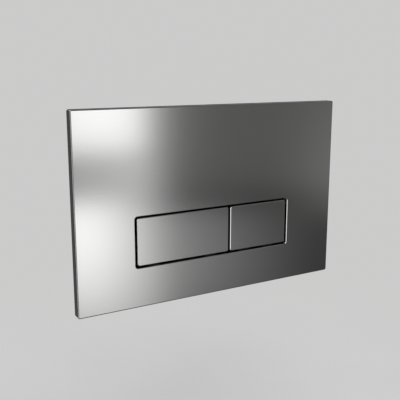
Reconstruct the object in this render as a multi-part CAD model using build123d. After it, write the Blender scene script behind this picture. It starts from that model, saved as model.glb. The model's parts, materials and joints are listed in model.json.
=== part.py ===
from build123d import *
import math
import os

# Dual flush actuator plate for a concealed cistern.
# Millimetres, +Z up. The front faces -Y, and the plate is seated on the plane Y = 0.
# The origin is the middle of the plate on that plane, and the works behind it are at Y above 0.

# Cover plate, a folded stainless steel tray
plate_width = 250.0
plate_height = 162.0
sheet = 1.2
plate_edge_radius = 1.0
plate_corner_radius = 1.5

# Opening for the buttons, with a lip turned back all round
opening_width = 150.9
opening_height = 42.9
opening_drop = 26.3  # from the middle of the plate down to the middle of the opening
opening_corner_radius = 2.5
lip_depth = 3.5  # from the front face

# Buttons, two steel caps that lie flush in the opening
side_gap = 2.1  # in the upright joints
top_gap = 1.6  # above the buttons, close to their hinge
bottom_gap = 1.95  # below the buttons, where they swing furthest
full_button_width = 85.9  # the half flush button takes the rest of the opening
button_corner_radius = 1.6
button_sheet = 1.0
button_rim = 3.2  # from the front face
edge_bevel = 0.4  # on the front edges of the buttons and the opening
press_angle = 8.0  # degrees

# Rockers, moulded carriers inside the caps
seat_clearance = 0.1
rocker_plate = 1.8
rocker_wall = 1.6
rocker_rib = 1.2
rocker_rib_depth = 4.4  # from the front face
rocker_depth = 6.0  # from the front face
rib_pitch = 18.0
eye_radius = 3.2
eye_width = 6.0
eye_inset = 11.0  # from the end of the button to the middle of the eye
tab_width = 10.0
tab_thickness = 1.5
tab_overlap = 1.0  # how far a stop tab reaches behind the lip
tab_inset = 16.0
tab_clearance = 0.3

# Pivot of the rockers
pivot_below_edge = 3.0
pivot_behind_face = 8.0
shaft_radius = 1.5
running_clearance = 0.08
end_cap_radius = 3.4
end_cap_length = 3.2
end_cap_grip = 2.2
end_cap_chamfer = 0.8
end_chamfer = 0.4  # on the shaft and the studs

# Button frame, a black moulding behind the cover
frame_width = 208.0
frame_height = 132.0
frame_corner_radius = 8.0
frame_flange = 2.0
frame_wall = 2.0
frame_bar = 12.0  # width of the frame's bar above its window
blade_margin = 7.2  # from a clip blade to the window's edge
frame_shelf = 14.0  # width of the bar between the pocket and the window
window_corner_radius = 5.0
pocket_room = 1.4  # between the lip and the pocket's wall
pocket_back_wall = 1.5
rod_hole_room = 1.0  # between a rod's head and its hole in the back wall
bearing_radius = 4.2
bearing_boss = 2.5
mullion = 2.4  # rib behind the joint between the buttons
mullion_clearance = 0.5
mullion_bearing_radius = 3.2
gusset = 1.6
gusset_height = 8.0
gusset_pitch = 31.0

# Welded studs of the cover and their push-on nuts
weld_stud_radius = 1.5
weld_stud_spare = 0.3
stud_hole_clearance = 0.2
push_nut_radius = 4.0
push_nut_disc = 0.5
push_nut_crown = 0.5
push_nut_crown_radius = 2.3
fastener_room = 1.8  # between the button frame and the mounting frame

# Mounting frame, a light moulding that sits in the cistern's service opening
mount_rim = 12.0  # how far the flange reaches past the collar
mount_corner_radius = 8.0
mount_flange = 2.5
collar_room_beside = 16.3  # between the pocket and the collar
collar_room_below = 3.7
collar_corner_radius = 5.0
collar_wall = 2.5
collar_edge_radius = 1.0
web = 2.5
fixing_web_front = 8.0
fixing_web_margin = 16.0  # from the studs down to the web's edge
guide_web_front = 15.5
guide_web_margin = 14.9  # from the rods up to the web's edge
web_rib = 1.8
web_rib_pitch = 32.0
web_lip = 5.0

# Push rods, heads, springs and stop nuts
lever_arm = 27.0  # from the pivot down to the rods
pad_radius = 6.5
pad_behind_pivot = 0.5
head_clearance = 0.45
head_radius = 6.5
head_dome = 2.0
head_disc = 2.0
hub_length = 3.5
rod_radius = 3.0
rod_end = 64.0
rod_tip = 1.0
sleeve_radius = 5.5
sleeve_length = 10.0
sleeve_chamfer = 0.6
sleeve_gusset = 6.0  # from the sleeve to the gusset's foot
sleeve_gusset_height = 7.0
spring_wire = 0.9
spring_seat_radius = 4.2  # of the head's hub and of the boss on the web
spring_fit = 0.55
spring_turns = 4.5
spring_clearance = 0.05
spring_boss_height = 2.0
stop_nut_flats = 10.0
stop_nut_height = 4.5
stop_nut_clearance = 0.4

# Stop buffers on the pocket's back wall, behind the rockers' tabs
buffer_radius = 2.4
buffer_height = 3.0
buffer_stem_radius = 1.2
buffer_stem = 3.0
buffer_chamfer = 0.8
buffer_clearance = 0.3

# Fixing studs, washers and thumb nuts
fixing_spacing = 128.0
fixing_height = 30.0
stud_front_radius = 3.0
stud_rear_radius = 4.0
stud_hex_flats = 10.0
stud_hex = 4.0
stud_hex_gap = 9.5  # from the web to the hexagon
stud_rear_length = 30.0
stud_proud = 1.0
fixing_slot = 14.0
fixing_slot_clearance = 0.3
washer_radius = 9.5
washer = 1.0
thumb_nut_radius = 8.0
thumb_nut_height = 3.5
thumb_nut_collar_radius = 5.5
thumb_nut_collar = 1.5
thumb_nut_lobes = 6
thumb_nut_scallop = 2.6

# Cover clips, their sockets in the mounting frame and the blades they grip
clip_room = 8.0  # from the collar to the middle of a clip
clip_z = 40.0
clip_front = 1.0
clip_length = 9.5
clip_width = 8.0
clip_strip = 0.5
clip_fit = 0.1
clip_flare = 0.7
clip_pinch = 3.4  # from the clip's mouth to its pinch
clip_bend = 1.2  # half the length of the pinch
blade = 1.6
blade_width = 7.0
blade_notch = 0.35
blade_chamfer = 0.5
blade_tip_gap = 0.3
socket_wall = 1.8
socket_room = 0.3

def at(x, z):
    """A place in the front view, X to the right and Z up."""
    return Pos(x, z)


def slab(outline, front, back):
    """An outline of the front view made solid from Y = front to Y = back."""
    return extrude(Plane.XZ.offset(-back) * outline, back - front)


def peg(x, z, radius, front, back):
    """A round bar along Y."""
    return slab(at(x, z) * Circle(radius), front, back)


def side_slab(outline, left, right):
    """An outline of the side view, drawn in Y and Z, made solid from X = left to X = right."""
    return extrude(Plane.YZ.offset(left) * outline, right - left)


def shaft_bar(radius, left, right):
    """A round bar on the pivot axis."""
    return side_slab(Pos(pivot_y, pivot_z) * Circle(radius), left, right)


def hexagon(flats):
    """A hexagon by its width across flats."""
    return RegularPolygon(flats / 2, 6, major_radius=False)


def spread(first, last, pitch):
    """Even places from first to last, about one pitch apart."""
    steps = max(1, round((last - first) / pitch))
    return [first + (last - first) * i / steps for i in range(steps + 1)]


def pressed_back(behind_face, below_pivot):
    """Y that a point of a button reaches at full press."""
    press = math.radians(press_angle)
    return pivot_y + (behind_face - pivot_behind_face) * math.cos(press) + below_pivot * math.sin(press)


def button_middle(name):
    """X of the middle of one button."""
    left, width = buttons[name]
    return left + width / 2


def tab_places(name):
    """X of the two stop tabs of one rocker."""
    left, width = buttons[name]
    return [left + tab_inset, left + width - tab_inset]


def front_face(solid):
    """The flat face that looks furthest forward."""
    return solid.faces().filter_by(Axis.Y).sort_by(Axis.Y)[0]


# Places worked out from the sizes above
plate_depth = sheet + frame_flange + fastener_room + mount_flange
face_y = -plate_depth
cover_back_y = face_y + sheet
frame_back_y = cover_back_y + frame_flange
lip_back_y = face_y + lip_depth
opening_z = -opening_drop
button_top = opening_z + opening_height / 2 - top_gap
button_bottom = opening_z - opening_height / 2 + bottom_gap
button_height = button_top - button_bottom
button_z = (button_top + button_bottom) / 2
full_left = -opening_width / 2 + side_gap
half_left = full_left + full_button_width + side_gap
half_button_width = opening_width / 2 - side_gap - half_left
joint_x = half_left - side_gap / 2
pivot_y = face_y + pivot_behind_face
pivot_z = button_top - pivot_below_edge
rocker_plate_back = face_y + button_sheet + rocker_plate
pocket_half_width = opening_width / 2 + sheet + pocket_room
pocket_half_height = opening_height / 2 + sheet + pocket_room
pocket_top = opening_z + pocket_half_height
pocket_bottom = opening_z - pocket_half_height
collar_width = 2 * (pocket_half_width + frame_wall + collar_room_beside)
collar_height = 2 * (frame_wall + collar_room_below - pocket_bottom)
clip_x = collar_width / 2 - clip_room
shaft_bearing_end = pocket_half_width + frame_wall + bearing_boss
rod_z = pivot_z - lever_arm
pad_back = pivot_y + pad_behind_pivot
head_front = pad_back + head_clearance
head_disc_front = head_front + head_dome
head_back = head_disc_front + head_disc
hub_back = head_back + hub_length
guide_web_back = guide_web_front + web
guide_web_top = rod_z + guide_web_margin
fixing_web_bottom = fixing_height - fixing_web_margin
sleeve_back = guide_web_back + sleeve_length
fixing_web_back = fixing_web_front + web
tab_front = lip_back_y + tab_clearance
tab_end = opening_z - opening_height / 2 - tab_overlap
tab_depth = lip_depth + tab_clearance + tab_thickness
buffer_front = pressed_back(tab_depth, pivot_z - tab_end) + buffer_clearance
buffer_z = (button_bottom + tab_end) / 2
back_wall_front = buffer_front + buffer_height
pocket_back = back_wall_front + pocket_back_wall
mullion_front = pressed_back(button_rim, pivot_z - button_bottom) + mullion_clearance
clip_back = clip_front + clip_length
blade_tip = clip_back - clip_strip - blade_tip_gap

buttons = {
    "full_flush": (full_left, full_button_width),
    "half_flush": (half_left, half_button_width),
}
shelf_z = pocket_top + frame_wall + frame_shelf / 2
gusset_places = [gusset_pitch * i for i in (-2, -1, 0, 1, 2)]
weld_stud_places = [(x, shelf_z) for x in (-clip_x, -1.5 * gusset_pitch, 1.5 * gusset_pitch, clip_x)]
weld_stud_places += [(-clip_x, opening_z), (clip_x, opening_z)]
clip_places = [(x, z) for x in (-clip_x, clip_x) for z in (-clip_z, clip_z)]
fixing_places = [(-fixing_spacing / 2, fixing_height), (fixing_spacing / 2, fixing_height)]


def make_cover_plate():
    """Tray with a rounded front edge, a bevelled and lipped opening and welded studs at its back."""
    tray = slab(RectangleRounded(plate_width, plate_height, plate_corner_radius), face_y, 0)
    inside = Rectangle(plate_width - 2 * sheet, plate_height - 2 * sheet)
    tray -= slab(inside, cover_back_y, 0)
    lip_width = opening_width + 2 * sheet
    lip_height = opening_height + 2 * sheet
    lip = RectangleRounded(lip_width, lip_height, opening_corner_radius + sheet)
    opening = RectangleRounded(opening_width, opening_height, opening_corner_radius)
    tray += slab(at(0, opening_z) * lip, face_y, lip_back_y)
    tray -= slab(at(0, opening_z) * opening, face_y, lip_back_y)
    stud_end = frame_back_y + push_nut_disc + push_nut_crown + weld_stud_spare
    for x, z in weld_stud_places:
        tray += peg(x, z, weld_stud_radius, cover_back_y, stud_end)
    tray = fillet(front_face(tray).outer_wire().edges(), plate_edge_radius)
    return chamfer(front_face(tray).inner_wires()[0].edges(), edge_bevel)


def make_button(name):
    """Shallow steel cap with a bevelled front edge."""
    left, width = buttons[name]
    place = at(left + width / 2, button_z)
    outline = RectangleRounded(width, button_height, button_corner_radius)
    cap = slab(place * outline, face_y, face_y + button_rim)
    cap = chamfer(front_face(cap).edges(), edge_bevel)
    inside = Rectangle(width - 2 * button_sheet, button_height - 2 * button_sheet)
    return cap - slab(place * inside, face_y + button_sheet, face_y + button_rim)


def make_rocker(name):
    """Ribbed carrier with two hinge eyes, a pressing pad and two stop tabs."""
    left, width = buttons[name]
    middle = left + width / 2
    inset = button_sheet + seat_clearance
    rocker_width = width - 2 * inset
    rocker_height = button_height - 2 * inset
    place = at(middle, button_z)
    seat = face_y + button_sheet
    rocker = slab(place * Rectangle(rocker_width, rocker_height), seat, face_y + rocker_depth)
    hollow = Rectangle(rocker_width - 2 * rocker_wall, rocker_height - 2 * rocker_wall)
    rocker -= slab(place * hollow, rocker_plate_back, face_y + rocker_depth)

    # Ribs both ways across the hollow
    for x in spread(left + inset, left + width - inset, rib_pitch)[1:-1]:
        upright = at(x, button_z) * Rectangle(rocker_rib, rocker_height)
        rocker += slab(upright, rocker_plate_back, face_y + rocker_rib_depth)
    level = place * Rectangle(rocker_width, rocker_rib)
    rocker += slab(level, rocker_plate_back, face_y + rocker_rib_depth)

    # Hinge eyes on arms that reach back to the pivot
    for x in (left + eye_inset, left + width - eye_inset):
        arm_top = button_top - inset
        arm_bottom = pivot_z - eye_radius
        arm_depth = pivot_y - rocker_plate_back
        arm = Rectangle(arm_depth, arm_top - arm_bottom)
        eye = Pos(pivot_y - arm_depth / 2, (arm_top + arm_bottom) / 2) * arm
        eye += Pos(pivot_y, pivot_z) * Circle(eye_radius)
        rocker += side_slab(eye, x - eye_width / 2, x + eye_width / 2)
    rocker -= shaft_bar(shaft_radius + running_clearance, left, left + width)

    # Pad that presses the rod, and tabs that stop the rocker behind the lip
    rocker += peg(middle, rod_z, pad_radius, rocker_plate_back, pad_back)
    tab_root = button_bottom + inset + rocker_wall / 2
    for x in tab_places(name):
        tab = at(x, (tab_root + tab_end) / 2) * Rectangle(tab_width, tab_root - tab_end)
        rocker += slab(tab, tab_front, tab_front + tab_thickness)
    return rocker


def make_pivot_shaft():
    """Plain shaft with a small chamfer at each end."""
    reach = shaft_bearing_end + end_cap_grip
    shaft = shaft_bar(shaft_radius, -reach, reach)
    return chamfer(shaft.edges().filter_by(GeomType.CIRCLE), end_chamfer)


def make_shaft_end_caps():
    """Push-on caps that keep the shaft in its bearings."""
    caps = []
    for side in (-1, 1):
        inner = side * shaft_bearing_end
        outer = side * (shaft_bearing_end + end_cap_length)
        grip = side * (shaft_bearing_end + end_cap_grip)
        cap = shaft_bar(end_cap_radius, min(inner, outer), max(inner, outer))
        rims = cap.edges().filter_by(GeomType.CIRCLE).sort_by(Axis.X)
        cap = chamfer(rims[0] if side < 0 else rims[-1], end_cap_chamfer)
        caps.append(cap - shaft_bar(shaft_radius, min(inner, grip), max(inner, grip)))
    return Compound(caps)


def make_button_frame():
    """Flange behind the cover, pocket round the rockers, shaft bearings and clip blades."""
    window_top = frame_height / 2 - frame_bar
    window_bottom = shelf_z + frame_shelf / 2
    window_width = 2 * (clip_x - blade / 2 - blade_margin)
    window = Rectangle(window_width, window_top - window_bottom)
    window = fillet(window.vertices(), window_corner_radius)
    flange = RectangleRounded(frame_width, frame_height, frame_corner_radius)
    flange -= at(0, (window_top + window_bottom) / 2) * window
    for x, z in weld_stud_places:
        flange -= at(x, z) * Circle(weld_stud_radius + stud_hole_clearance)
    frame = slab(flange, cover_back_y, frame_back_y)

    # Pocket round the opening, with holes in its back wall for the rods and the buffers' stems
    place = at(0, opening_z)
    pocket = Rectangle(2 * pocket_half_width, 2 * pocket_half_height)
    outer_width = 2 * (pocket_half_width + frame_wall)
    outer_height = 2 * (pocket_half_height + frame_wall)
    outside = RectangleRounded(outer_width, outer_height, frame_wall)
    frame += slab(place * outside, cover_back_y, pocket_back)
    frame -= slab(place * pocket, cover_back_y, back_wall_front)
    for name in buttons:
        frame -= peg(button_middle(name), rod_z, head_radius + rod_hole_room, back_wall_front, pocket_back)
        for x in tab_places(name):
            frame -= peg(x, buffer_z, buffer_stem_radius, back_wall_front, pocket_back)

    # Gussets that brace the pocket's upper wall against the flange
    foot = pocket_top + frame_wall
    toe = (frame_back_y, foot + gusset_height)
    brace = Polyline((frame_back_y, foot), toe, (pocket_back, foot), close=True)
    for x in gusset_places:
        frame += side_slab(make_face(brace), x - gusset / 2, x + gusset / 2)

    # Bearings for the shaft: a boss on each side wall and a mullion between the rockers
    for side in (-1, 1):
        wall_x = side * pocket_half_width
        end = side * shaft_bearing_end
        frame += shaft_bar(bearing_radius, min(wall_x, end), max(wall_x, end))
    upright = Rectangle(pocket_back - mullion_front, 2 * pocket_half_height)
    upright = Pos((pocket_back + mullion_front) / 2, opening_z) * upright
    upright += Pos(pivot_y, pivot_z) * Circle(mullion_bearing_radius)
    frame += side_slab(upright, joint_x - mullion / 2, joint_x + mullion / 2)
    frame -= shaft_bar(shaft_radius, -shaft_bearing_end, shaft_bearing_end)

    # Blades for the cover clips, notched on both faces
    pinch = clip_front + clip_pinch
    for x, z in clip_places:
        tongue = slab(at(x, z) * Rectangle(blade, blade_width), frame_back_y, blade_tip)
        tongue = chamfer(tongue.faces().sort_by(Axis.Y)[-1].edges().filter_by(Axis.Z), blade_chamfer)
        for side in (-1, 1):
            notch = at(x + side * blade / 2, z) * Rectangle(2 * blade_notch, blade_width)
            tongue -= slab(notch, pinch - clip_bend, pinch + clip_bend)
        frame += tongue
    return frame


def make_push_nuts():
    """Push-on nuts: a disc with a raised crown round each welded stud."""
    nuts = []
    for x, z in weld_stud_places:
        crown_front = frame_back_y + push_nut_disc
        nut = peg(x, z, push_nut_radius, frame_back_y, crown_front)
        nut += peg(x, z, push_nut_crown_radius, crown_front, crown_front + push_nut_crown)
        nuts.append(nut - peg(x, z, weld_stud_radius, frame_back_y, crown_front + push_nut_crown))
    return Compound(nuts)


def make_mounting_frame():
    """Flange on the seat, collar in the service opening, fixing web, guide web and clip sockets."""
    outer_width = collar_width + 2 * collar_wall
    outer_height = collar_height + 2 * collar_wall
    mount_width = outer_width + 2 * mount_rim
    mount_height = outer_height + 2 * mount_rim
    frame = slab(RectangleRounded(mount_width, mount_height, mount_corner_radius), -mount_flange, 0)
    outer = RectangleRounded(outer_width, outer_height, collar_corner_radius + collar_wall)
    inner = RectangleRounded(collar_width, collar_height, collar_corner_radius)
    collar = slab(outer, -mount_flange, guide_web_back)
    frame += fillet(collar.faces().sort_by(Axis.Y)[-1].edges(), collar_edge_radius)
    frame -= slab(inner, -mount_flange, guide_web_back)

    # Upper web that the fixing studs pass through, with a lip and ribs at its back
    half_width = (collar_width + collar_wall) / 2
    wall_middle = RectangleRounded(2 * half_width, collar_height + collar_wall, collar_corner_radius)
    top = collar_height / 2
    upper = at(0, (outer_height / 2 + fixing_web_bottom) / 2)
    upper *= Rectangle(outer_width, outer_height / 2 - fixing_web_bottom)
    frame += slab(upper & wall_middle, fixing_web_front, fixing_web_back)
    edge = at(0, fixing_web_bottom + web_rib / 2) * Rectangle(2 * half_width, web_rib)
    frame += slab(edge, fixing_web_back, fixing_web_back + web_lip)
    for x in (-web_rib_pitch, 0, web_rib_pitch):
        rib = at(x, (top + fixing_web_bottom) / 2) * Rectangle(web_rib, top - fixing_web_bottom)
        frame += slab(rib, fixing_web_back, fixing_web_back + web_lip)
    for x, z in fixing_places:
        slot = at(x, z) * SlotOverall(fixing_slot, 2 * (stud_front_radius + fixing_slot_clearance))
        frame -= slab(slot, fixing_web_front, fixing_web_back)

    # Lower web that guides the rods
    lower = at(0, (guide_web_top - outer_height / 2) / 2)
    lower *= Rectangle(outer_width, guide_web_top + outer_height / 2)
    frame += slab(lower & wall_middle, guide_web_front, guide_web_back)
    ledge = at(0, guide_web_top - web_rib / 2) * Rectangle(2 * half_width, web_rib)
    frame += slab(ledge, guide_web_back, guide_web_back + web_lip)
    crest = (guide_web_back + web_lip, guide_web_top - web_rib)
    brace = Polyline((guide_web_back, guide_web_top), crest, (guide_web_back, -top), close=True)
    rod_spacing = button_middle("half_flush") - button_middle("full_flush")
    for step in (-0.5, 0.5, 1.5):
        x = button_middle("full_flush") + step * rod_spacing
        frame += side_slab(make_face(brace), x - web_rib / 2, x + web_rib / 2)

    # Guide sleeves with sloping gussets, and bosses in front that centre the springs
    reach = sleeve_radius + sleeve_gusset
    cross = Rectangle(2 * reach, web_rib) + Rectangle(web_rib, 2 * reach)
    slope = Cone(reach, sleeve_radius, sleeve_gusset_height, align=(Align.CENTER, Align.CENTER, Align.MIN))
    for name in buttons:
        x = button_middle(name)
        gussets = slab(at(x, rod_z) * cross, guide_web_back, guide_web_back + sleeve_gusset_height)
        frame += gussets & Pos(x, guide_web_back, rod_z) * Rot(-90, 0, 0) * slope
        sleeve = peg(x, rod_z, sleeve_radius, guide_web_front, sleeve_back)
        frame += chamfer(sleeve.edges().filter_by(GeomType.CIRCLE).sort_by(Axis.Y)[-1], sleeve_chamfer)
        boss_front = guide_web_front - spring_boss_height
        frame += peg(x, rod_z, spring_seat_radius, boss_front, guide_web_front)
        frame -= peg(x, rod_z, rod_radius + running_clearance, boss_front, sleeve_back)

    # Sockets for the cover clips, carried by the collar's sides
    room_x = blade / 2 + clip_fit + clip_strip + clip_flare + socket_room
    room_z = clip_width / 2 + socket_room
    for x, z in clip_places:
        side = math.copysign(1, x)
        inner_x = x - side * (room_x + socket_wall)
        outer_x = side * half_width
        block = Rectangle(abs(outer_x - inner_x), 2 * (room_z + socket_wall))
        frame += slab(at((inner_x + outer_x) / 2, z) * block, 0, clip_back + socket_wall)
        frame -= slab(at(x, z) * Rectangle(2 * room_x, 2 * room_z), 0, clip_back)
    return frame


def make_push_rod(name):
    """Round rod with a chamfered tip."""
    rod = peg(button_middle(name), rod_z, rod_radius, head_disc_front, rod_end)
    return chamfer(rod.edges().filter_by(GeomType.CIRCLE).sort_by(Axis.Y)[-1], rod_tip)


def make_rod_head(name):
    """Domed head with a hub that is screwed on the rod."""
    x = button_middle(name)
    dome_radius = (head_radius**2 + head_dome**2) / (2 * head_dome)
    ball = Pos(x, head_front + dome_radius, rod_z) * Sphere(dome_radius)
    head = peg(x, rod_z, head_radius, head_front, head_back) & ball
    head += peg(x, rod_z, spring_seat_radius, head_back, hub_back)
    return head - peg(x, rod_z, rod_radius, head_disc_front, hub_back)


def make_stop_nut(name):
    """Hexagon nut behind the guide, which keeps the rod from being pushed out."""
    front = sleeve_back + stop_nut_clearance
    nut = slab(at(button_middle(name), rod_z) * hexagon(stop_nut_flats), front, front + stop_nut_height)
    return nut - peg(button_middle(name), rod_z, rod_radius, front, front + stop_nut_height)


def make_return_spring(name):
    """Compression spring of faceted wire between the guide web and the rod's head."""
    length = guide_web_front - head_back - spring_clearance - spring_wire
    radius = spring_seat_radius + spring_fit + spring_wire / 2
    helix = Helix(length / spring_turns, length, radius)
    wire = Plane(helix @ 0, x_dir=(0, 0, 1), z_dir=helix % 0) * RegularPolygon(spring_wire / 2, 4)
    spring = sweep(wire, path=helix, is_frenet=True)
    back_end = guide_web_front - spring_wire / 2
    return Pos(button_middle(name), back_end, rod_z) * Rot(90, 0, 0) * spring


def make_stop_buffers():
    """Rubber buttons on stems that are pushed through the pocket's back wall."""
    buffers = []
    for x in tab_places("full_flush") + tab_places("half_flush"):
        pad = peg(x, buffer_z, buffer_radius, buffer_front, back_wall_front)
        pad = chamfer(pad.edges().filter_by(GeomType.CIRCLE).sort_by(Axis.Y)[0], buffer_chamfer)
        stem = peg(x, buffer_z, buffer_stem_radius, back_wall_front, back_wall_front + buffer_stem)
        buffers.append(pad + stem)
    return Compound(buffers)


def make_fixing_studs():
    """Double-ended studs with a hexagon between the two threads."""
    studs = []
    nut_front = fixing_web_front - washer - thumb_nut_collar - thumb_nut_height
    hex_front = fixing_web_back + stud_hex_gap
    hex_back = hex_front + stud_hex
    for x, z in fixing_places:
        stud = peg(x, z, stud_front_radius, nut_front - stud_proud, hex_front)
        stud += slab(at(x, z) * hexagon(stud_hex_flats), hex_front, hex_back)
        stud += peg(x, z, stud_rear_radius, hex_back, hex_back + stud_rear_length)
        ends = stud.edges().filter_by(GeomType.CIRCLE).sort_by(Axis.Y)
        studs.append(chamfer([ends[0], ends[-1]], end_chamfer))
    return Compound(studs)


def make_fixing_washers():
    """Plain washers that cover the slots."""
    front = fixing_web_front - washer
    ring = Circle(washer_radius) - Circle(stud_front_radius)
    return Compound([slab(at(x, z) * ring, front, fixing_web_front) for x, z in fixing_places])


def make_thumb_nuts():
    """Lobed nuts with a plain collar towards the washer."""
    scallops = PolarLocations(thumb_nut_radius + thumb_nut_scallop / 2, thumb_nut_lobes)
    lobed = Circle(thumb_nut_radius) - scallops * Circle(thumb_nut_scallop)
    back = fixing_web_front - washer
    middle = back - thumb_nut_collar
    front = middle - thumb_nut_height
    nuts = []
    for x, z in fixing_places:
        nut = slab(at(x, z) * lobed, front, middle) + peg(x, z, thumb_nut_collar_radius, middle, back)
        nuts.append(nut - peg(x, z, stud_front_radius, front, back))
    return Compound(nuts)


def make_cover_clips():
    """Strip clips, each a U with two pinched leaves and a flared mouth."""
    leaf = blade / 2 + clip_fit
    pinched = leaf - blade_notch
    mouth = leaf + clip_flare
    pinch = clip_front + clip_pinch
    inner = [
        (0, clip_back - clip_strip),
        (leaf, clip_back - clip_strip),
        (leaf, pinch + clip_bend),
        (pinched, pinch),
        (leaf, pinch - clip_bend),
        (mouth, clip_front),
    ]
    outer = [(x + clip_strip, y) for x, y in inner[:1:-1]]
    corner = (leaf + clip_strip, clip_back)
    half = make_face(Polyline(*inner, *outer, corner, (0, clip_back), close=True))
    strip = half + mirror(half, Plane.YZ)
    clip = extrude(strip, clip_width / 2, both=True)
    return Compound([Pos(x, 0, z) * clip for x, z in clip_places])


parts = {
    "cover_plate": make_cover_plate(),
    "button_frame": make_button_frame(),
    "push_nuts": make_push_nuts(),
    "pivot_shaft": make_pivot_shaft(),
    "shaft_end_caps": make_shaft_end_caps(),
    "mounting_frame": make_mounting_frame(),
    "stop_buffers": make_stop_buffers(),
    "fixing_studs": make_fixing_studs(),
    "fixing_washers": make_fixing_washers(),
    "thumb_nuts": make_thumb_nuts(),
    "cover_clips": make_cover_clips(),
}
for name in buttons:
    parts[name + "_button"] = make_button(name)
    parts[name + "_rocker"] = make_rocker(name)
    parts[name + "_push_rod"] = make_push_rod(name)
    parts[name + "_rod_head"] = make_rod_head(name)
    parts[name + "_stop_nut"] = make_stop_nut(name)
    parts[name + "_return_spring"] = make_return_spring(name)

os.makedirs("parts", exist_ok=True)
for node, shape in parts.items():
    export_step(shape, f"parts/{node}.step")
    print(node, round(shape.volume, 1))
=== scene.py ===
# %% [markdown]
# This lesson dresses a dual flush plate: a flat tray of satin steel with a wide and a narrow push button,
# and the mouldings, rods, springs and studs that work behind it.
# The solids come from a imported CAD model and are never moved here. Blender adds their finishes, and the
# fine shapes that a solid model leaves plain, such as screw threads and round spring wire.
# Lengths are in metres and angles in degrees, where nothing else is said.

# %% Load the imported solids
import json
import math

import bmesh
import bpy
import numpy as np
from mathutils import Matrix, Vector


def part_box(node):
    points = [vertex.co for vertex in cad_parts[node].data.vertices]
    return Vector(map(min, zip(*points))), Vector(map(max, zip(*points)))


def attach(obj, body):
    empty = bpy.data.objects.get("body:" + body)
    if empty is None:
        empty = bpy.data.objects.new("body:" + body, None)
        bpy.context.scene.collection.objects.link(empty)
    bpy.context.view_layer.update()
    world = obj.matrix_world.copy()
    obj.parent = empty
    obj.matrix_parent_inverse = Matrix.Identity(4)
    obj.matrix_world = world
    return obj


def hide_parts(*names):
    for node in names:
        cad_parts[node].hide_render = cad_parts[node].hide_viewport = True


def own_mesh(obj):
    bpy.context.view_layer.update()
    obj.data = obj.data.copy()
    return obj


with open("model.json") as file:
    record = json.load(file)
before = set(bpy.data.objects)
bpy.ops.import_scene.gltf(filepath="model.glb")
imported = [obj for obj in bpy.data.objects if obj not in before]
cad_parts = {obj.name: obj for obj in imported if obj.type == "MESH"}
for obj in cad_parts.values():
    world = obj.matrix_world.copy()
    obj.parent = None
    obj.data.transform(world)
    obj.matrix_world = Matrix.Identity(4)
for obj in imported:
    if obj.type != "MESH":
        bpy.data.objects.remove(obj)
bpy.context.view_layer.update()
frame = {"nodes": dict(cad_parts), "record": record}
nodes = frame["nodes"]

# %% [markdown]
# The plate was seen from a little above and from its left. A camera is placed at the same spot:
# its turn about the vertical is the yaw, its tilt is the pitch, and the lens gives the same perspective.
# An aimed camera with a Track To constraint would work too, but two angles are easier to read later.

# %% Camera
camera_place = (-0.2737, -0.4552, 0.1118)
camera_yaw = 29.938
camera_pitch = -11.913
camera_data = bpy.data.cameras.new("camera")
camera_data.sensor_width = 36.0
camera_data.lens = 57.0
camera = bpy.data.objects.new("camera", camera_data)
camera.location = camera_place
camera.rotation_euler = (math.radians(90 + camera_pitch), 0, math.radians(-camera_yaw))
bpy.context.scene.collection.objects.link(camera)
bpy.context.scene.camera = camera
print("camera at", camera_place, "lens", camera_data.lens, "mm")

# %% [markdown]
# Every new shape in this lesson is a sheet of points in rows and columns, worked out with numpy.
# One helper turns such sheets into a mesh: it joins neighbouring points by four-sided faces, and can close
# the first and the last row with a fan. A sheet that goes all round carries its first column again at its
# end, and points that meet are merged, so the seam is closed.
# Spinning a profile by an operator would also work, but a formula can carry a thread or a spiral as well.

# %% Helper: a mesh from sheets of points
merge_distance = 1e-7
sharp_angle = 35.0


def skin(name, sheets, capped=True):
    """Mesh over sheets points[row, column]: a quad between each four neighbours, and a fan on each end."""
    corners = []
    faces = []
    used = 0
    for points in sheets:
        rows, columns = points.shape[:2]
        index = used + np.arange(rows * columns).reshape(rows, columns)
        quads = np.stack([index[:-1, :-1], index[:-1, 1:], index[1:, 1:], index[1:, :-1]], axis=-1)
        corners.append(points.reshape(-1, 3))
        faces += quads.reshape(-1, 4).tolist()
        used += rows * columns
        if capped:
            corners.append(points[[0, -1], :-1].mean(axis=1))
            pole = np.full(columns - 1, used)
            faces += np.stack([pole, index[0, 1:], index[0, :-1]], axis=-1).tolist()
            faces += np.stack([pole + 1, index[-1, :-1], index[-1, 1:]], axis=-1).tolist()
            used += 2
    mesh = bpy.data.meshes.new(name)
    mesh.from_pydata(np.vstack(corners).tolist(), [], faces)
    work = bmesh.new()
    work.from_mesh(mesh)
    bmesh.ops.remove_doubles(work, verts=work.verts, dist=merge_distance)
    bmesh.ops.recalc_face_normals(work, faces=work.faces)
    work.to_mesh(mesh)
    work.free()
    mesh.polygons.foreach_set("use_smooth", np.ones(len(mesh.polygons), bool))
    mesh.set_sharp_from_angle(angle=math.radians(sharp_angle))
    piece = bpy.data.objects.new(name, mesh)
    bpy.context.scene.collection.objects.link(piece)
    print(name, len(mesh.polygons), "faces")
    return piece


print("sheets: points within", merge_distance, "m merge, edges over", sharp_angle, "degrees stay sharp")

# %% [markdown]
# Shader nodes are made in code too. They could be wired by hand in the editor, but a script can be run again
# and read. Four small helpers keep it short: one adds a node and sets its inputs, where a value that comes
# from another node is given as that node's output. One adds a Math node and one a smooth step. The last
# makes an empty node group with named sockets, so that an effect is built once and used in several finishes.

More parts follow.
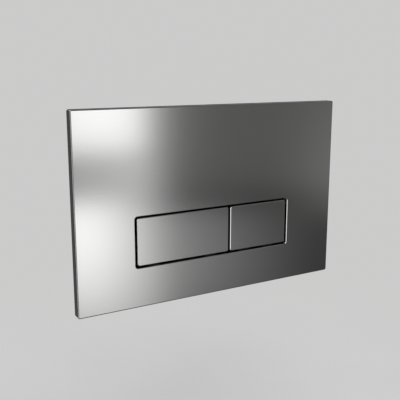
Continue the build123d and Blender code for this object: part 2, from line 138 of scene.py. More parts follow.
# %% Helpers: nodes and node groups
def node(tree, kind, settings=None, **inputs):
    """Adds a node; settings are its options. Inputs are values or outputs, by label, or by n and a number."""
    made = tree.nodes.new(kind)
    for name, value in (settings or {}).items():
        setattr(made, name, value)
    for name, value in inputs.items():
        label = name.replace("_", " ")
        socket = made.inputs[int(label[1:])] if label[1:].isdigit() else made.inputs[label]
        if isinstance(value, bpy.types.NodeSocket):
            tree.links.new(value, socket)
        else:
            socket.default_value = value
    return made


def math_node(tree, operation, *values):
    """One Math node; values are numbers or outputs, in order."""
    inputs = {f"n{i}": value for i, value in enumerate(values)}
    return node(tree, "ShaderNodeMath", {"operation": operation}, **inputs).outputs[0]


def ramp_between(tree, value, low, high, start=0.0, end=1.0):
    """Smooth step of value: start below low, end above high."""
    ends = {"From_Min": low, "From_Max": high, "To_Min": start, "To_Max": end}
    made = node(tree, "ShaderNodeMapRange", {"interpolation_type": "SMOOTHSTEP"}, Value=value, **ends)
    return made.outputs["Result"]


def new_group(name, inputs, outputs):
    """Empty shader group; inputs and outputs are {name: socket kind}. Returns tree, its inputs, its end."""
    tree = bpy.data.node_groups.new(name, "ShaderNodeTree")
    for label, kind in inputs.items():
        tree.interface.new_socket(label, in_out="INPUT", socket_type="NodeSocket" + kind)
    for label, kind in outputs.items():
        tree.interface.new_socket(label, in_out="OUTPUT", socket_type="NodeSocket" + kind)
    return tree, tree.nodes.new("NodeGroupInput").outputs, tree.nodes.new("NodeGroupOutput")


print("shader helpers: node, math_node, ramp_between, new_group")

# %% [markdown]
# The set is plain and pale. The world gives an even light from all sides, and what the camera sees of it
# is one pale grey. Mirror images and clear things are given that grey too, so the glossy and transmission
# rays are added to the camera ray before the two backgrounds are mixed. In mirror images the dome, which
# comes later, stands before it. A picture of a studio could light the set as well, but one grey is plainer.

# %% World
backdrop_grey = 0.60
backdrop_tint = (1, 0.998, 0.995, 1)
even_light = 0.55
world = bpy.data.worlds.new("pale_set")
world.use_nodes = True
bpy.context.scene.world = world
tree = world.node_tree
tree.nodes.clear()
rays = node(tree, "ShaderNodeLightPath").outputs
seen = math_node(tree, "MAXIMUM", rays["Is Camera Ray"], rays["Is Glossy Ray"])
seen = math_node(tree, "MAXIMUM", seen, rays["Is Transmission Ray"])
light = node(tree, "ShaderNodeBackground", Color=(1, 1, 1, 1), Strength=even_light)
grey = node(tree, "ShaderNodeBackground", Color=backdrop_tint, Strength=backdrop_grey)
either = node(tree, "ShaderNodeMixShader", Fac=seen, n1=light.outputs[0], n2=grey.outputs[0])
node(tree, "ShaderNodeOutputWorld", Surface=either.outputs[0])
print("world: light", even_light, "backdrop", backdrop_grey)

# %% [markdown]
# The floor is a wide pale disc below the plate that catches its soft shadow. A plane would do as well, but a
# disc can fade out evenly all round. It is kept out of the mirror images, which have a floor of their own.
# The steps of one full turn are set here, because every round shape of the lesson uses them.

# %% Floor
floor_level = -0.36
floor_radius = 1.6
floor_rings = 40
turn_steps = 96
turn = np.linspace(0, 2 * np.pi, turn_steps + 1)[None, :]
ring = np.linspace(0, floor_radius, floor_rings)[:, None]
disc = np.stack([ring * np.cos(turn), ring * np.sin(turn), np.full_like(ring * turn, floor_level)], axis=-1)
floor = skin("floor", [disc], capped=False)
floor.visible_glossy = False
print("floor at", floor_level, "m")

# %% [markdown]
# Its paint is matt, with a slow mottle that keeps it from looking like paper. Away from the middle it turns
# clear by a smooth step, so that no edge and no horizon line shows against the backdrop. A colour ramp to
# the backdrop's grey would need the same light everywhere, and clear paint doesn't.

# %% Paint of the floor
floor_fade = (0.35, 0.95)
floor_tones = (0.69, 0.73)
mottle_per_metre = 9.0
paint = bpy.data.materials.new("pale_floor")
paint.use_nodes = True
tree = paint.node_tree
tree.nodes.clear()
place = node(tree, "ShaderNodeTexCoord").outputs["Object"]
level = node(tree, "ShaderNodeVectorMath", {"operation": "MULTIPLY"}, n0=place, n1=(1, 1, 0)).outputs[0]
away = node(tree, "ShaderNodeVectorMath", {"operation": "LENGTH"}, n0=level).outputs["Value"]
mottle = node(tree, "ShaderNodeTexNoise", Vector=place, Scale=mottle_per_metre, Detail=3.0).outputs["Fac"]
tone = node(tree, "ShaderNodeMapRange", Value=mottle, To_Min=floor_tones[0], To_Max=floor_tones[1]).outputs[0]
tone = node(tree, "ShaderNodeCombineColor", Red=tone, Green=tone, Blue=tone).outputs[0]
matt = node(tree, "ShaderNodeBsdfDiffuse", Color=tone)
clear = node(tree, "ShaderNodeBsdfTransparent")
fade = ramp_between(tree, away, *floor_fade)
cover = node(tree, "ShaderNodeMixShader", Fac=fade, n1=matt.outputs[0], n2=clear.outputs[0])
node(tree, "ShaderNodeOutputMaterial", Surface=cover.outputs[0])
floor.data.materials.append(paint)
print("floor paint fades out from", floor_fade[0], "to", floor_fade[1], "m")

# %% [markdown]
# Two soft lamps light what is not metal: a broad one in front and above, and a weaker one behind for the
# hidden side. Point lamps would give hard shadows. Both are kept out of the mirror images, because satin
# steel gets its look from what it mirrors, and that is set up next.

# %% Soft lamps
def soft_lamp(name, place, size, watts):
    """Square area lamp at a place, turned to the middle of the object."""
    data = bpy.data.lights.new(name, "AREA")
    data.size = size
    data.energy = watts
    lamp = bpy.data.objects.new(name, data)
    lamp.location = place
    lamp.rotation_euler = (-lamp.location).to_track_quat("-Z", "Y").to_euler()
    lamp.visible_glossy = False
    bpy.context.scene.collection.objects.link(lamp)
    print(name, watts, "W")


soft_lamp("front_lamp", place=(-0.7, -1.5, 1.5), size=1.2, watts=17.0)
soft_lamp("back_lamp", place=(0.8, 1.6, 1.2), size=1.2, watts=12.0)

# %% [markdown]
# Satin steel has little colour of its own: it shows a blurred picture of what stands round it. A studio
# hangs pale panels and dark cloth round such a piece. Here one large dome does that work, and each panel is
# a patch on it in two angles: the azimuth, from straight ahead of the plate to its right, and the height
# above the horizon. Every patch has soft edges, so the steel shows slow gradients. A real lamp for each
# panel would light the floor and the plastics as well.

# %% Node group: a soft panel
edges = ("Left out", "Left in", "Right in", "Right out", "Low out", "Low in", "High in", "High out")
panel_group, given, end = new_group(
    "soft_panel",
    {"Azimuth": "Float", "Height": "Float", **{edge: "Float" for edge in edges}},
    {"Mask": "Float"},
)
rise_left = ramp_between(panel_group, given["Azimuth"], given["Left out"], given["Left in"])
fall_right = ramp_between(panel_group, given["Azimuth"], given["Right in"], given["Right out"], 1.0, 0.0)
rise_low = ramp_between(panel_group, given["Height"], given["Low out"], given["Low in"])
fall_high = ramp_between(panel_group, given["Height"], given["High in"], given["High out"], 1.0, 0.0)
across = math_node(panel_group, "MULTIPLY", rise_left, fall_right)
upright = math_node(panel_group, "MULTIPLY", rise_low, fall_high)
panel_group.links.new(math_node(panel_group, "MULTIPLY", across, upright), end.inputs["Mask"])
print("group", panel_group.name, len(panel_group.nodes), "nodes")

# %% [markdown]
# Each panel has a level, four azimuths and four heights in degrees, in the order of the edges above.
# The softboxes ahead and to the right are what the face shows. The tall strip at the left draws the bright
# lines on the bevels beside the joints. The fills and floor panels keep the rest of the metal from going
# black, and the panels behind are for the other views. Three fills are tinted a little, warm or cool, because
# a steel that mirrors one pure grey looks like paint.

# %% Panels
dark_cloth = 0.012
panels = {
    "front fill": (0.037, (-20, 0, 80, 100), (-60, -40, 40, 60)),
    "wide softbox": (0.40, (13, 20, 24.5, 27.9), (-34, -20, 6, 14)),
    "softbox rim": (0.25, (20, 23.5, 24.6, 26.4), (-14, -11, -9, -7)),
    "upper softbox": (1.22, (9, 15, 23.9, 25.5), (-8, -6.6, 4, 12)),
    "lower softbox": (1.38, (9, 15, 18.7, 25.8), (-29.8, -13, -12.6, -11.2)),
    "low glow": (0.285, (20, 24, 24, 42.6), (-27, -18, -13.7, -12.2)),
    "upper fill": (0.078, (20, 24, 60, 80), (-11.2, -10, 20, 40)),
    "right fill": (0.125, (36, 44.5, 60, 80), (-13.6, -12.4, -11, 6)),
    "front softbox": (0.2, (-18, -10, 0, 8), (-40, -25, 25, 40)),
    "left dim": (0.11, (-100, -80, 4, 12), (-60, -40, 40, 60)),
    "left strip": (1.36, (-69, -63, -52.5, -46), (-44, -30, 8, 20)),
    "left strip top": (1.36, (-62, -54, -20, 0), (8, 20, 52, 62)),
    "left side fill": (0.12, (-140, -125, -95, -80), (-60, -40, 30, 50)),
    "left back": (0.11, (-190, -185, -164, -157), (-30, -24, 30, 60)),
    "ceiling fill": (0.17, (46, 58, 80, 100), (28, 42, 66, 80)),
    "overhead softbox": (0.4, (-190, -185, 185, 190), (66, 76, 90, 91)),
    "floor glow": (0.30, (-190, -185, 185, 190), (-91, -90, -84, -74)),
    "floor fill": (0.13, (0, 10, 36, 52), (-54, -42, -31, -25)),
    "floor right": (0.32, (48, 60, 88, 102), (-46, -34, -26, -15)),
    "floor left": (0.30, (-60, -45, 0, 10), (-76, -66, -34, -24)),
    "rear low right": (0.45, (130, 140, 185, 190), (-70, -50, -8, 0)),
    "rear low left": (0.45, (-190, -185, -120, -105), (-70, -55, -27, -22)),
    "rear high right": (0.5, (130, 140, 185, 190), (22, 32, 60, 72)),
    "rear high left": (0.7, (-190, -185, -112, -100), (14, 26, 60, 72)),
    "right side softbox": (0.7, (92, 104, 120, 130), (8, 22, 60, 72)),
}
plain = (1, 1, 1)
warm = (1.02, 1.0, 0.95)
cool = (0.96, 1.0, 0.985)
tints = {"upper fill": warm, "right fill": warm, "front fill": cool}
print("panels:", ", ".join(panels))

# %% [markdown]
# The dome itself is a ball far outside the set. Only mirror images show it, on the metal and in the shine of
# the plastics. The camera, the matt surfaces and the shadows don't know of it. The same picture could be put
# in the world, but then it would light the matt surfaces too.

# %% Dome
dome_radius = 20.0
dome_rows = 49
height = np.linspace(-np.pi / 2, np.pi / 2, dome_rows)[:, None]
level = np.cos(height)
ball = np.stack([level * np.cos(turn), level * np.sin(turn), np.sin(height + 0 * turn)], axis=-1)
dome = skin("mirror_dome", [dome_radius * ball], capped=False)
dome.visible_camera = False
dome.visible_diffuse = False
dome.visible_transmission = False
dome.visible_shadow = False
print("dome of", dome_radius, "m")

# %% [markdown]
# The dome glows with a sum: the dark cloth, plus the mask of each panel times its level. Both angles come from
# the place of a point on the dome, by an arc tangent and an arc sine. Sheets hung in the air could stand for
# the panels as well, but their edges would be hard, and each would hide what lies behind it.

# %% Light of the dome
multiply_add = {"operation": "MULTIPLY_ADD"}
cloth = bpy.data.materials.new("dome_panels")
cloth.use_nodes = True
tree = cloth.node_tree
tree.nodes.clear()
place = node(tree, "ShaderNodeTexCoord").outputs["Object"]
unit = node(tree, "ShaderNodeVectorMath", {"operation": "NORMALIZE"}, n0=place).outputs[0]
axis = node(tree, "ShaderNodeSeparateXYZ", Vector=unit).outputs
ahead = math_node(tree, "MULTIPLY", axis["Y"], -1.0)
azimuth = math_node(tree, "DEGREES", math_node(tree, "ARCTAN2", axis["X"], ahead))
height_angle = math_node(tree, "DEGREES", math_node(tree, "ARCSINE", axis["Z"]))
glow = (dark_cloth, dark_cloth, dark_cloth)
for label, (level, azimuths, heights) in panels.items():
    choices = {"node_tree": panel_group, "label": label}
    panel = node(tree, "ShaderNodeGroup", choices, Azimuth=azimuth, Height=height_angle)
    for edge, angle in zip(edges, azimuths + heights):
        panel.inputs[edge].default_value = angle
    colour = [level * share for share in tints.get(label, plain)]
    mask = panel.outputs["Mask"]
    glow = node(tree, "ShaderNodeVectorMath", multiply_add, n0=mask, n1=colour, n2=glow).outputs[0]
shine = node(tree, "ShaderNodeEmission", Color=glow, Strength=1.0)
node(tree, "ShaderNodeOutputMaterial", Surface=shine.outputs[0])
dome.data.materials.append(cloth)
print("dome with", len(panels), "panels,", len(tree.nodes), "nodes")

# %% [markdown]
# Two effects follow, the streaks of brushed metal and the grain of moulded plastic. Each is made of a fine
# and a broad noise, and both end in the same way: the noises shift the colour and the roughness, and the fine
# one also lifts the surface. So the end is written once, with the sockets that both have.

# %% Helper: the end of an effect
effect_inputs = {"Colour": "Color", "Tone": "Float", "Rough": "Float", "Rough spread": "Float"}
effect_outputs = {"Colour": "Color", "Roughness": "Float", "Height": "Float"}
noise_middle = 0.5


def shade_by(tree, given, end, fine, broad, fine_share):
    """Ends an effect group. Shift is the weighted mean of both noises, less the middle of a noise. Colour is
    multiplied by one plus shift times tone, roughness grows by shift times spread, fine is the height."""
    fine_part = math_node(tree, "MULTIPLY", fine, fine_share)
    both = math_node(tree, "MULTIPLY_ADD", broad, 1 - fine_share, fine_part)
    shift = math_node(tree, "SUBTRACT", both, noise_middle)
    gain = math_node(tree, "MULTIPLY_ADD", shift, given["Tone"], 1.0)
    toned = node(tree, "ShaderNodeVectorMath", {"operation": "SCALE"}, n0=given["Colour"], Scale=gain)
    rough = math_node(tree, "MULTIPLY_ADD", shift, given["Rough spread"], given["Rough"])
    tree.links.new(toned.outputs[0], end.inputs["Colour"])
    tree.links.new(rough, end.inputs["Roughness"])
    tree.links.new(fine, end.inputs["Height"])
    print("group", tree.name, len(tree.nodes), "nodes")


print("an effect takes", ", ".join(effect_inputs), "and gives", ", ".join(effect_outputs))

# %% [markdown]
# Brushing leaves fine long scratches. A noise that is stretched far along one direction and is very tight
# across it gives the same: it shifts the roughness and the brightness a little and lifts a faint bump.
# The noise is read at two places close together. Their difference keeps the fine streaks and drops the broad
# bands, which a finely brushed sheet doesn't show from afar. Both places lie beside whole numbers, because
# the noise is flat there. A second, broad noise is the slow unevenness of the sheet.
# The same effect, with other lengths, is the drawing marks on a bright steel bar and on spring wire.

# %% Node group: brush streaks
streak_places = ((0.35, 0.5, 0.2), (0.35, 0.5, 0.8))
streak_share = 0.85
unevenness_per_metre = 14.0
streak_group, given, end = new_group("brush_streaks", {"Stretch": "Vector", **effect_inputs}, effect_outputs)
place = node(streak_group, "ShaderNodeTexCoord").outputs["Object"]
reads = []
for beside in streak_places:
    drawn = node(streak_group, "ShaderNodeVectorMath", multiply_add, n0=place, n1=given["Stretch"], n2=beside)
    noise = node(streak_group, "ShaderNodeTexNoise", Vector=drawn.outputs[0], Scale=1.0, Detail=1.5)
    reads.append(noise.outputs["Fac"])
apart = math_node(streak_group, "SUBTRACT", *reads)
fine = math_node(streak_group, "ADD", apart, noise_middle)
broad = node(streak_group, "ShaderNodeTexNoise", Vector=place, Scale=unevenness_per_metre, Detail=2.0)
shade_by(streak_group, given, end, fine, broad.outputs["Fac"], streak_share)

# %% [markdown]
# Moulded plastic repeats the finish of its steel mould: a fine spark-eroded grain. Two noises make it, one
# at the size of the grain, which also makes the bump, and one much broader for the uneven shine where the
# melt cooled. Both shift the tone and the roughness. A picture of a grain would do too, but it has a fixed
# size, and this one is set in metres.

# %% Node group: moulded grain
grain_share = 0.5
cooling_per_metre = 45.0
grain_group, given, end = new_group("moulded_grain", {"Grain size": "Float", **effect_inputs}, effect_outputs)
place = node(grain_group, "ShaderNodeTexCoord").outputs["Object"]
per_metre = math_node(grain_group, "DIVIDE", 1.0, given["Grain size"])
fine = node(grain_group, "ShaderNodeTexNoise", Vector=place, Scale=per_metre, Detail=2.0)
broad = node(grain_group, "ShaderNodeTexNoise", Vector=place, Scale=cooling_per_metre, Detail=3.0)
shade_by(grain_group, given, end, fine.outputs["Fac"], broad.outputs["Fac"], grain_share)

# %% [markdown]
# A finish is one Principled shader fed by one of these groups. What is the same all over the surface is set
# on the shader itself. The metals take the streaks and the mouldings take the grain. Nine shaders could be
# set up by hand, but a function for each kind keeps them alike.

# %% Helpers: a finish
streak_bump, streak_depth = 0.15, 1e-5
grain_depth = 1.8e-4
finishes = {}


def finish(name, group, metallic, bump, depth, colour, tone, rough, spread, **sizes):
    """Material whose colour, roughness and bump come from an effect group, kept under its slot's name."""
    material = bpy.data.materials.new(name)
    material.use_nodes = True
    tree = material.node_tree
    tree.nodes.clear()
    values = {"Colour": (*colour, 1), "Tone": tone, "Rough": rough, "Rough_spread": spread, **sizes}
    effect = node(tree, "ShaderNodeGroup", {"node_tree": group}, **values).outputs
    lift = node(tree, "ShaderNodeBump", Strength=bump, Distance=depth, Height=effect["Height"])
    shader = node(
        tree,
        "ShaderNodeBsdfPrincipled",
        Base_Color=effect["Colour"],
        Roughness=effect["Roughness"],
        Metallic=metallic,
        Normal=lift.outputs[0],
    )
    node(tree, "ShaderNodeOutputMaterial", Surface=shader.outputs[0])
    finishes[name] = material


def steel(name, colour, stretch, **look):
    """Bare metal with streaks; stretch is how many streaks lie in a metre along X, Y and Z."""
    finish(name, streak_group, 1.0, streak_bump, streak_depth, colour, Stretch=stretch, **look)


def plastic(name, colour, grain_size, bump, **look):
    """Moulded plastic or rubber with a grain of the given size in metres."""
    finish(name, grain_group, 0.0, bump, grain_depth, colour, Grain_size=grain_size, **look)


print("bumps: streaks", streak_depth, "m deep, grain", grain_depth, "m deep")

# %% [markdown]
# The cover and the buttons are of sheet that is brushed along the plate's long side, so their streaks are
# long in X and Y and tight in Z. A drawn bar has its marks along X, and zinc plating has no direction. The
# rods and nuts come from a smooth mould and the frames from a grained one. Each finish bears the name of a
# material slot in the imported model, so that every solid finds its own.

# %% Finishes
steel("satin_steel", (0.62, 0.62, 0.615), (14, 14, 4000), tone=0.38, rough=0.13, spread=0.06)
steel("plain_steel", (0.55, 0.55, 0.55), (20, 5000, 5000), tone=0.15, rough=0.22, spread=0.12)
steel("zinc_steel", (0.64, 0.66, 0.67), (700, 700, 700), tone=0.25, rough=0.33, spread=0.2)
steel("spring_steel", (0.45, 0.45, 0.46), (300, 3000, 3000), tone=0.2, rough=0.28, spread=0.15)
plastic("black_plastic", (0.02, 0.02, 0.02), grain_size=4e-4, bump=0.8, tone=0.8, rough=0.48, spread=0.4)
plastic("frame_plastic", (0.74, 0.74, 0.72), grain_size=5e-4, bump=0.8, tone=0.2, rough=0.45, spread=0.4)
plastic("rod_plastic", (0.82, 0.82, 0.79), grain_size=8e-4, bump=0.15, tone=0.1, rough=0.34, spread=0.2)
plastic("nut_plastic", (0.10, 0.13, 0.18), grain_size=8e-4, bump=0.15, tone=0.3, rough=0.38, spread=0.25)
plastic("rubber", (0.03, 0.03, 0.03), grain_size=3e-4, bump=0.8, tone=0.8, rough=0.75, spread=0.3)
slot_of = {row["node"]: row["material_slot"] for row in frame["record"]["subparts"]}
for name, slot in slot_of.items():
    nodes[name].data.materials.clear()
    nodes[name].data.materials.append(finishes[slot])
print("finishes:", ", ".join(finishes))

# %% [markdown]
# The screws, nuts and springs behind the plate are plain in the solids. Here they get their fine form.
# They all lie about a line that runs straight back, along Y, so one helper puts a sheet about such a line:
# it needs only a radius and a place along the line for each row, and both may change round the turn.
# Another helper lets the new piece stand for its solid: same body, same finish.

# %% Helpers: surfaces about a line
def about_line(x, z, along, radius):
    """Sheet about the line through (x, z) along Y: at each turn a point stands off by its radius."""
    return np.stack([x + radius * np.cos(turn), along, z + radius * np.sin(turn)], axis=-1)


def rings(*pairs):
    """Rows of a turned shape, one ring for each pair of a place along the line and a radius."""
    along = np.vstack([place + 0 * turn for place, radius in pairs])
    radius = np.vstack([radius + 0 * turn for place, radius in pairs])
    return along, radius


def in_turn(*parts):
    """Rows of several shapes, one after the other."""
    along, radius = zip(*parts)
    return np.vstack(along), np.vstack(radius)


body_of = {name: body for body, names in frame["record"]["behaviour"]["bodies"].items() for name in names}


def stand_for(name, node_name, sheets, capped=True):
    """New piece in place of a solid, on the same body and with the same finish."""
    piece = skin(name, sheets, capped)
    piece.data.materials.append(finishes[slot_of[node_name]])
    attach(piece, body_of[node_name])
    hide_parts(node_name)
    return piece


def middle_of(node_name):
    """X and Z of the middle of a solid's box."""
    low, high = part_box(node_name)
    return (low.x + high.x) / 2, (low.z + high.z) / 2


def ends_of(node_name):
    """Where a solid's box starts and ends along Y."""
    low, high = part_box(node_name)
    return low.y, high.y


print("nodes:", len(body_of), "on bodies:", ", ".join(sorted(set(body_of.values()))))

# %% [markdown]
# A screw thread is a ridge that climbs one pitch in each turn. A plain grid of rings would cut across the
# ridge and leave it jagged. So the rows of this grid follow the ridge: each row climbs one pitch as it goes
# round, and its end meets the row one turn further on. Rows that run past an end are held on the end's ring,
# and a cone of 45 degrees cuts the first and last thread, as a die leaves it.

# %% Helper: rows of a thread
crest_end, root_start, root_end = 1 / 8, 7 / 16, 11 / 16


def thread(start, stop, crest, pitch, depth):
    """Rows along the ridge: place is lap plus corner plus turn, times the pitch; radius is crest or root."""
    laps = np.arange(-1, math.ceil((stop - start) / pitch) + 1)
    corner = np.array([0, crest_end, root_start, root_end])
    lift = np.array([1, 1, 0, 0])
    place = (laps[:, None] + corner).reshape(-1, 1)
    along = np.clip(start + pitch * (place + turn / (2 * np.pi)), start, stop)
    root = crest - depth
    ridge = root + depth * np.tile(lift, len(laps))[:, None]
    from_end = np.minimum(along - start, stop - along)
    return along, np.minimum(ridge, root + from_end)


print("corners of a thread, in pitches:", 0, crest_end, root_start, root_end)

# %% [markdown]
# Hexagons on screws and nuts are turned before use, which rounds off their corners by a cone of 30 degrees.
# The radius of a hexagon round the turn is half its width across flats over the cosine of the angle from
# the middle of a flat. The smaller of that and the cone gives the curved lines seen on every real nut. A
# Bevel modifier would cut all edges alike, which a lathe doesn't.

# %% Helper: rows of a hexagon
face_share = 0.475
cone_angle = 30.0
cone_rows = 6


def hexagon(front, back, flats):
    """Rows from one face to the other: radius is the smaller of the hexagon's and the cone's."""
    sixth = np.pi / 3
    full = flats / 2 / np.cos(turn % sixth - sixth / 2)
    face = face_share * flats
    corner = flats / math.sqrt(3)
    step = np.linspace(0, 1, cone_rows)[:, None]
    turned = np.minimum(full, face + (corner - face) * step)
    depth = (corner - face) * math.tan(math.radians(cone_angle)) * step
    along = np.vstack([front + depth + 0 * turn, back - depth[::-1] + 0 * turn])
    return along, np.vstack([turned, turned[::-1]])


print("hexagons: face radius", face_share, "of the flats, cone of", cone_angle, "degrees")

# %% [markdown]
# Two double-ended studs fasten the mounting frame to the cistern. The thin thread in front takes the thumb
# nut, the thick one behind goes into the cistern, and a spanner fits the hexagon between them. A stud is one
# closed surface, so that no seam shows: thread, neck, hexagon, neck and thread, row after row.

# %% Fixing studs
stud_front_radius = 0.003
stud_hex_front = 0.020
stud_hex_back = 0.024
stud_flats = 0.010
stud_neck = 0.001
fine_pitch, fine_depth = 0.001, 0.00061
coarse_pitch, coarse_depth = 0.00125, 0.00077
fixing = next(row for row in frame["record"]["mounts"] if row["name"] == "fixing_studs")
stud_rear_radius = fixing["dims"]["stud_r_mm"] / 1000
fixing_x = fixing["dims"]["pcd_mm"] / 2000
fixing_z = fixing["pos_m"][2]
stud_front, stud_back = ends_of("fixing_studs")
stud = in_turn(
    thread(stud_front, stud_hex_front - stud_neck, stud_front_radius, fine_pitch, fine_depth),
    rings((stud_hex_front, stud_front_radius - fine_depth)),
    hexagon(stud_hex_front, stud_hex_back, stud_flats),
    rings((stud_hex_back, stud_rear_radius - coarse_depth)),
    thread(stud_hex_back + stud_neck, stud_back, stud_rear_radius, coarse_pitch, coarse_depth),
)
stud_sheets = [about_line(x, fixing_z, *stud) for x in (-fixing_x, fixing_x)]
stand_for("threaded_fixing_studs", "fixing_studs", stud_sheets)

# %% [markdown]
# The push rods are moulded with a coarse thread behind their guides, so that the fitter can set their length
# and turn on the stop nut. In the guide the rod stays smooth, because it slides there. A bump texture could
# draw the thread too, but its ridge shows in the rod's outline, so it is a shape.

# %% Push rods
rod_pitch, rod_depth = 0.002, 0.0005
rod_smooth_end = 0.024
rod_edge = 0.0001
buttons = ("full_flush", "half_flush")
for button in buttons:
    low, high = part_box(f"{button}_push_rod")
    front, back = ends_of(f"{button}_push_rod")
    rod_radius = (high.x - low.x) / 2
    rod = in_turn(
        rings((front, rod_radius - rod_edge), (front + rod_edge, rod_radius), (rod_smooth_end, rod_radius)),
        thread(rod_smooth_end, back, rod_radius, rod_pitch, rod_depth),
    )
    rod_sheet = about_line(*middle_of(f"{button}_push_rod"), *rod)
    stand_for(f"{button}_threaded_rod", f"{button}_push_rod", [rod_sheet])

# %% [markdown]
# A compression spring is round wire on a helix. Its end turns lie close so that they stand flat on the seat,
# and the turns between are open. The rise per turn is therefore small at both ends and larger between, and
# its sum along the wire gives the height. A Screw modifier would give the wire too, but with one pitch only.

# %% Helper: spring wire
spring_wire = 0.0009
spring_turns = 5.5
closed_turns = 0.9
pitch_change = 0.5
steps_per_turn = 48
wire_sides = 16
around_wire = np.linspace(0, 2 * np.pi, wire_sides + 1)[None, :, None]


def spring(x, z, front, back, mean_radius):
    """Tube along a helix: centre line plus the wire's radius times the outward and sideways direction."""
    lap = np.linspace(0, spring_turns, int(steps_per_turn * spring_turns) + 1)[:, None]
    from_end = np.minimum(lap, spring_turns - lap)
    inner = np.clip((from_end - closed_turns) / pitch_change + 0.5, 0, 1)
    opening = np.cumsum(inner * inner * (3 - 2 * inner), axis=0)
    free_rise = back - front - spring_wire - spring_wire * spring_turns
    rise = front + spring_wire / 2 + spring_wire * lap + free_rise * opening / opening[-1]
    angle = 2 * np.pi * lap
    none = 0 * lap
    outward = np.hstack([np.cos(angle), none, np.sin(angle)])
    centre = np.hstack([x + none, rise, z + none]) + mean_radius * outward
    ahead = np.gradient(centre, axis=0)
    ahead /= np.linalg.norm(ahead, axis=1, keepdims=True)
    sideways = np.cross(ahead, outward)
    section = np.cos(around_wire) * outward[:, None] + np.sin(around_wire) * sideways[:, None]
    return centre[:, None] + spring_wire / 2 * section


print("spring wire", spring_wire, "m,", spring_turns, "turns,", closed_turns, "closed at each end")

# %% [markdown]
# Each rod has a return spring between its head and its guide, and its rear end stands on the guide. A real
# spring gets shorter as the rod slides back; here the wire is drawn at the length of its solid, and each
# spring gets a mesh of its own.

# %% Return springs
for button in buttons:
    low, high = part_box(f"{button}_return_spring")
    x, z = middle_of(f"{button}_return_spring")
    front, back = ends_of(f"{button}_return_spring")
    coil = spring(x, z, front, back, (high.x - low.x - spring_wire) / 2)
    piece = stand_for(f"{button}_wire_spring", f"{button}_return_spring", [coil])
    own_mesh(piece)

# %% [markdown]
# The stop nuts are plastic hexagons on the rods. A nut is a ring: its rows go over the front face, down the
# hexagon, over the back face and home through the bore, whose mouths are countersunk. A hole cut by a
# boolean would leave long thin faces, and these rows stay even.

# %% Stop nuts
nut_bore = 0.003
nut_sink = 0.0005
for button in buttons:
    low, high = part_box(f"{button}_stop_nut")
    front, back = ends_of(f"{button}_stop_nut")
    nut = in_turn(
        rings((front, nut_bore + nut_sink)),
        hexagon(front, back, high.z - low.z),
        rings((back, nut_bore + nut_sink), (back - nut_sink, nut_bore)),
        rings((front + nut_sink, nut_bore), (front, nut_bore + nut_sink)),
    )
    nut_sheet = about_line(*middle_of(f"{button}_stop_nut"), *nut)
    stand_for(f"{button}_turned_nut", f"{button}_stop_nut", [nut_sheet], capped=False)

# %% [markdown]
# The thumb nuts are turned by hand, so their rim has scallops for the fingers and soft edges. A scallop is
# part of a circle whose middle lies just outside the rim. Cutting it with a cylinder would leave a sharp
# corner, so where rim and scallop meet, a soft minimum rounds the corner. The edge between rim and face is a
# quarter circle, and follows the scallops because its radius does.

# %% Helpers: scallops and rounded edges
thumb_radius = 0.008
thumb_scallop = 0.0026
thumb_scallops = 6
thumb_corner = 0.00018
edge_rows = 6
quarter = np.linspace(0, np.pi / 2, edge_rows)[:, None]


def lobes():
    """Radius round the turn: soft minimum of the rim and the nearest scallop's circle."""
    centre = thumb_radius + thumb_scallop / 2
    share = 2 * np.pi / thumb_scallops
    off = (turn + share / 2) % share - share / 2
    inside = np.maximum(thumb_scallop**2 - (centre * np.sin(off)) ** 2, 0)
    hollow = np.where(inside > 0, centre * np.cos(off) - np.sqrt(inside), centre)
    return -thumb_corner * np.log(np.exp(-thumb_radius / thumb_corner) + np.exp(-hollow / thumb_corner))


def round_edge(radius, size):
    """Rows of a quarter circle: depth below the face is size times one less cosine, inset one less sine."""
    return size * (1 - np.cos(quarter)) + 0 * turn, radius - size * (1 - np.sin(quarter)) + 0 * turn


print("scalloped rim: radius", round(lobes().min(), 5), "to", round(lobes().max(), 5), "m")

# %% [markdown]
# A thumb nut has the scalloped rim in front and a plain collar behind that presses on the washer. Its rows
# run as on the stop nut, out over the front face and home through the bore, so that it is one closed ring.
# Rim and collar could be two pieces, but a moulded nut is one.

# %% Thumb nuts
thumb_edge = 0.0007
thumb_collar = 0.0055
thumb_collar_length = 0.0015
thumb_front, thumb_back = ends_of("thumb_nuts")
thumb_middle = thumb_back - thumb_collar_length
edge_depth, edge_radius = round_edge(lobes(), thumb_edge)
thumb_nut = in_turn(
    rings((thumb_front + nut_sink, nut_bore), (thumb_front, nut_bore + nut_sink)),
    (thumb_front + edge_depth, edge_radius),
    (thumb_middle - edge_depth[::-1], edge_radius[::-1]),
    rings((thumb_middle, thumb_collar), (thumb_back, thumb_collar)),
    rings((thumb_back, nut_bore), (thumb_front + nut_sink, nut_bore)),
)
thumb_sheets = [about_line(x, fixing_z, *thumb_nut) for x in (-fixing_x, fixing_x)]
stand_for("lobed_thumb_nuts", "thumb_nuts", thumb_sheets, capped=False)

# %% [markdown]
# A punched washer has one edge drawn round by the punch, and the other stays sharp. A Bevel modifier would
# round both, so its section is written as a few rings and one rounded edge.

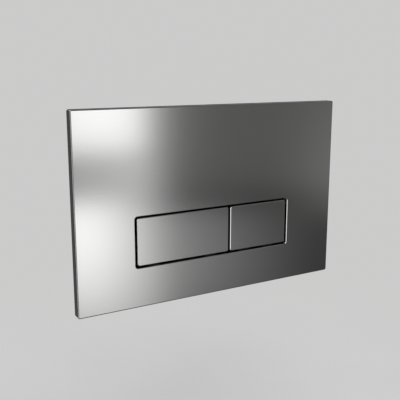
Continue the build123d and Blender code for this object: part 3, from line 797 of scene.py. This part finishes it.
# %% Washers
washer_edge = 0.0004
low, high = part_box("fixing_washers")
washer_front, washer_back = ends_of("fixing_washers")
washer_radius = (high.z - low.z) / 2
edge_depth, edge_radius = round_edge(washer_radius, washer_edge)
washer = in_turn(
    rings((washer_front, stud_front_radius)),
    (washer_front + edge_depth, edge_radius),
    rings((washer_back, washer_radius), (washer_back, stud_front_radius), (washer_front, stud_front_radius)),
)
washer_sheets = [about_line(x, fixing_z, *washer) for x in (-fixing_x, fixing_x)]
stand_for("punched_washers", "fixing_washers", washer_sheets, capped=False)

# %% [markdown]
# Push-on nuts hold the black frame to the cover's welded studs. Each is a dished disc of spring steel whose
# inner rim is slit into teeth that bite the stud. Booleans could cut the slits, but the radius alone does
# it: in a narrow share of each tooth's turn, the inner rows are moved outwards to the bottom of the slit.

# %% Push-on nuts
push_nut_radius = 0.004
push_nut_sheet = 0.0004
tooth_count = 6
slit_share = 0.16
slit_bottom = 0.0026
stud_radius = 0.0015
inner_nut_x = 0.0465
low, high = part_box("push_nuts")
upper_z = high.z - push_nut_radius
lower_z = low.z + push_nut_radius
outer_nut_x = high.x - push_nut_radius
dish = high.y - low.y - push_nut_sheet
section = np.array([
    (low.y, push_nut_radius),
    (low.y, slit_bottom),
    (low.y + dish, stud_radius),
    (high.y, stud_radius),
    (low.y + push_nut_sheet, slit_bottom),
    (low.y + push_nut_sheet, push_nut_radius),
    (low.y, push_nut_radius),
])
in_slit = (turn * tooth_count / (2 * np.pi)) % 1 < slit_share
teeth = np.where(in_slit, np.maximum(section[:, 1:], slit_bottom), section[:, 1:])
nut_places = [(x, upper_z) for x in (-outer_nut_x, -inner_nut_x, inner_nut_x, outer_nut_x)]
nut_places += [(-outer_nut_x, lower_z), (outer_nut_x, lower_z)]
nut_sheets = [about_line(x, z, section[:, :1] + 0 * turn, teeth) for x, z in nut_places]
stand_for("toothed_push_nuts", "push_nuts", nut_sheets, capped=False)

# %% [markdown]
# The size of the dressed object must stay the size of the solids. The plain Standard view keeps the colours
# about as they are written.

# %% Colour view
bpy.context.scene.view_settings.view_transform = "Standard"
